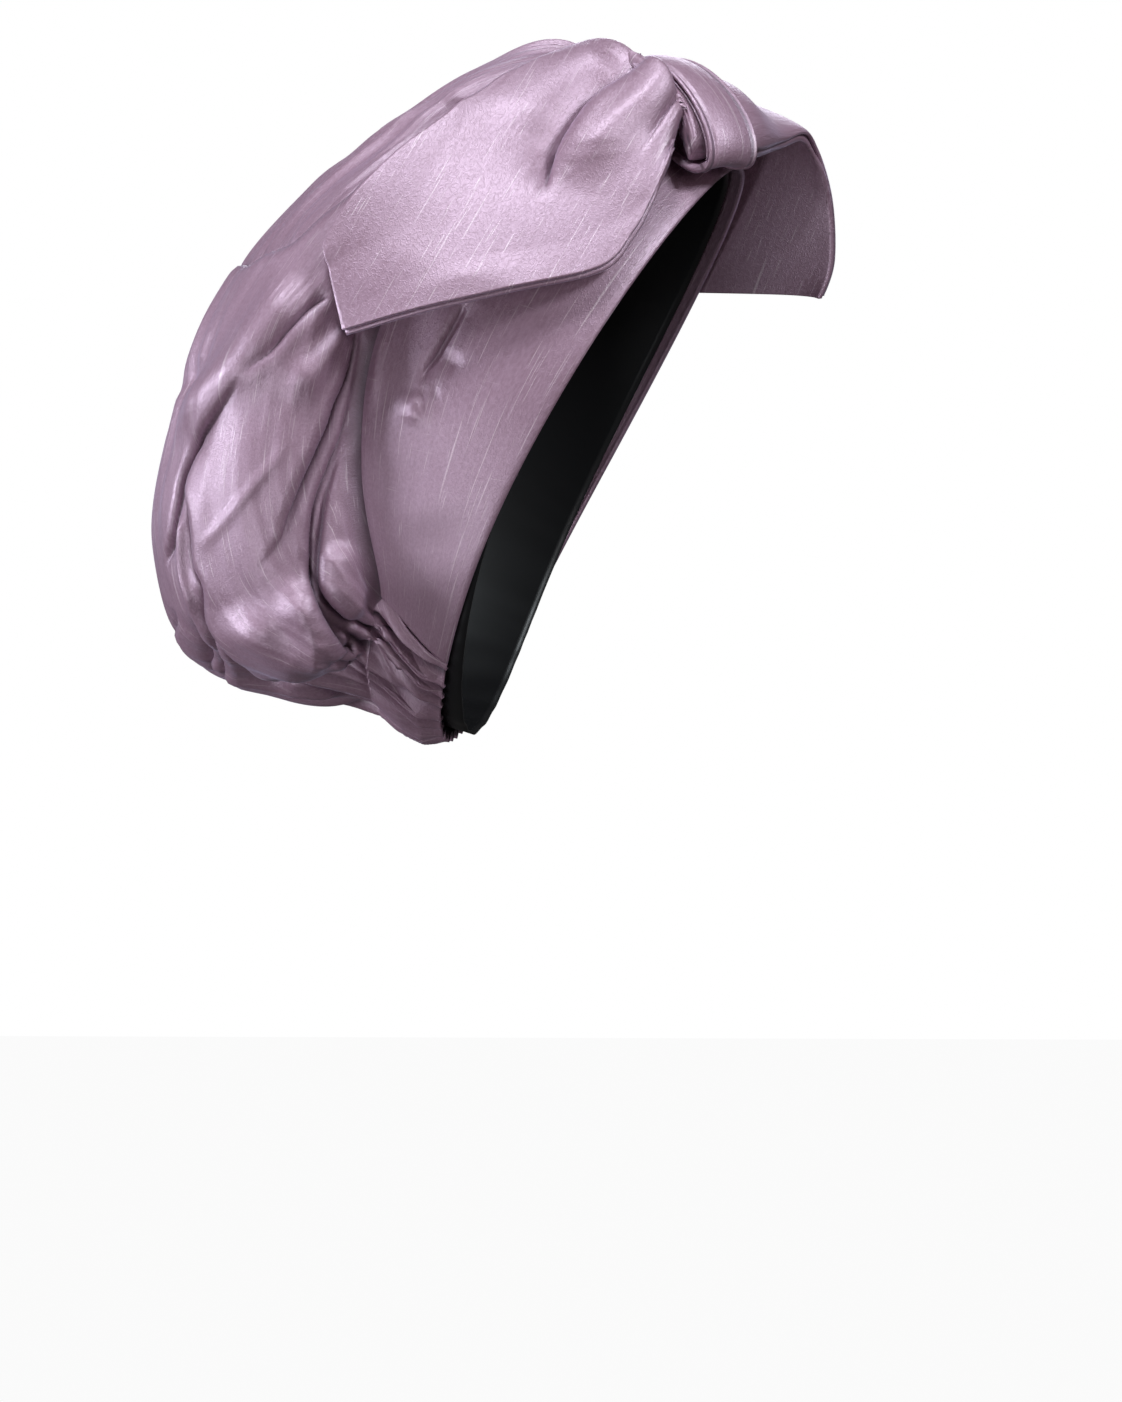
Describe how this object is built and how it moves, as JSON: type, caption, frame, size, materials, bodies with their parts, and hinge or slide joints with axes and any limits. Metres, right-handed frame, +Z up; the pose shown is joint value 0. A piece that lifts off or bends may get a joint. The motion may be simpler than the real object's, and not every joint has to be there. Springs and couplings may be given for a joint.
{
  "type": "draped turban headwrap",
  "caption": "Soft draped turban headwrap in slubbed silk with a slouching gathered crown, smooth front band, ruched nape casing and a twisted bow held by a knot loop at the brow.",
  "frame": {"origin": "the middle of the head opening, in the plane of the rim, where the wearer's head comes in", "axes": "+Z up as worn with the head level, -Y the way the wearer faces, +X the wearer's left"},
  "size_m": [0.1779, 0.2071, 0.2274],
  "materials": {
    "silk": "lilac slubbed silk with a soft two-tone sheen",
    "lining": "black stretch lining, slightly glossy"
  },
  "bodies": {
    "root": {"crown": "silk", "front_band": "silk", "nape_casing": "silk", "knot_loop": "silk", "tail_right": "silk", "tail_left": "silk", "lining": "lining"}
  },
  "joints": []
}
